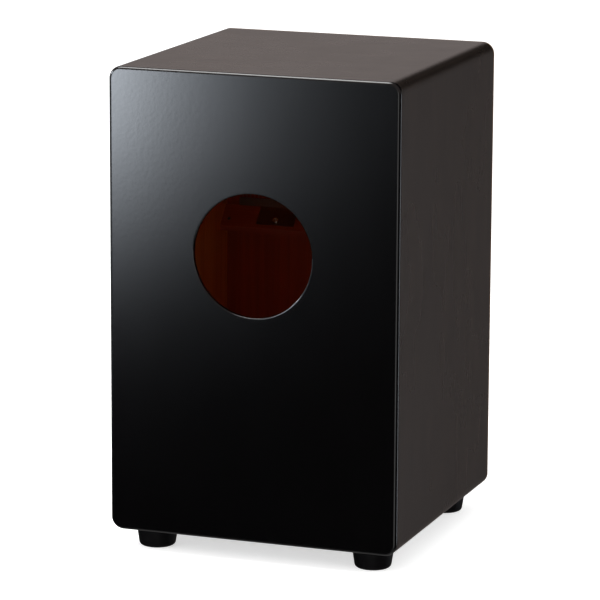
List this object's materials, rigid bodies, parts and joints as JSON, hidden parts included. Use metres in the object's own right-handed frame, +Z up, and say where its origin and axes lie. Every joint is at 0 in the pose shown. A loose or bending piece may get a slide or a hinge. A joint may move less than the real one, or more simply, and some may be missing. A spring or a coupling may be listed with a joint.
{
  "type": "cajon",
  "caption": "Box drum to sit on, with a thin front plate, a round sound hole at the back, rubber feet and wire snares fixed inside against the front plate.",
  "frame": {"origin": "on the floor, at the middle of the four feet", "axes": "+Z up; +Y out of the front plate (tapa) that is struck, so -Y is out of the back panel with the sound hole; +X to the seated player's right"},
  "size_m": [0.29, 0.29, 0.471],
  "materials": {
    "black_stain": "black satin stain over fine wood grain, natural wood on the inside",
    "black_lacquer": "smooth black satin-gloss lacquer, natural wood on the inside",
    "tapa_veneer": "satin dark brown wood veneer",
    "raw_wood": "natural unfinished wood",
    "black_screws": "black phosphated steel",
    "zinc_steel": "bright zinc plate",
    "plate_steel": "dull zinc-plated sheet steel",
    "snare_wire": "bare spring steel wire",
    "foot_rubber": "matte black moulded rubber"
  },
  "bodies": {
    "box": {"back_panel": "black_lacquer", "beam_pins": "zinc_steel", "bottom_board": "black_stain", "corner_batten_bottom_left": "raw_wood", "corner_batten_bottom_right": "raw_wood", "corner_batten_top_left": "raw_wood", "corner_batten_top_right": "raw_wood", "foot_back_left": "foot_rubber", "foot_back_right": "foot_rubber", "foot_front_left": "foot_rubber", "foot_front_right": "foot_rubber", "foot_screws": "zinc_steel", "foot_washers": "zinc_steel", "left_side_board": "black_stain", "right_side_board": "black_stain", "snare_beam": "raw_wood", "snare_clip_left": "plate_steel", "snare_clip_right": "plate_steel", "snare_plate_left": "plate_steel", "snare_plate_right": "plate_steel", "snare_screw_left": "zinc_steel", "snare_screw_right": "zinc_steel", "tapa": "tapa_veneer", "tapa_screws": "black_screws", "top_board": "black_stain"},
    "snare_left": {"snare_strands_left": "snare_wire"},
    "snare_right": {"snare_strands_right": "snare_wire"}
  },
  "joints": [
    {"name": "snare_left_flex", "type": "hinge", "parent": "box", "child": "snare_left", "pos_m": [-0.0775, 0.1386, 0.2993], "axis": [1, 0, 0], "range_deg": [0, 4], "stiffness_Nm_per_rad": 0.5, "springref_deg": -2.01},
    {"name": "snare_right_flex", "type": "hinge", "parent": "box", "child": "snare_right", "pos_m": [0.0775, 0.1386, 0.2993], "axis": [1, 0, 0], "range_deg": [0, 4], "stiffness_Nm_per_rad": 0.5, "springref_deg": -2.01}
  ]
}
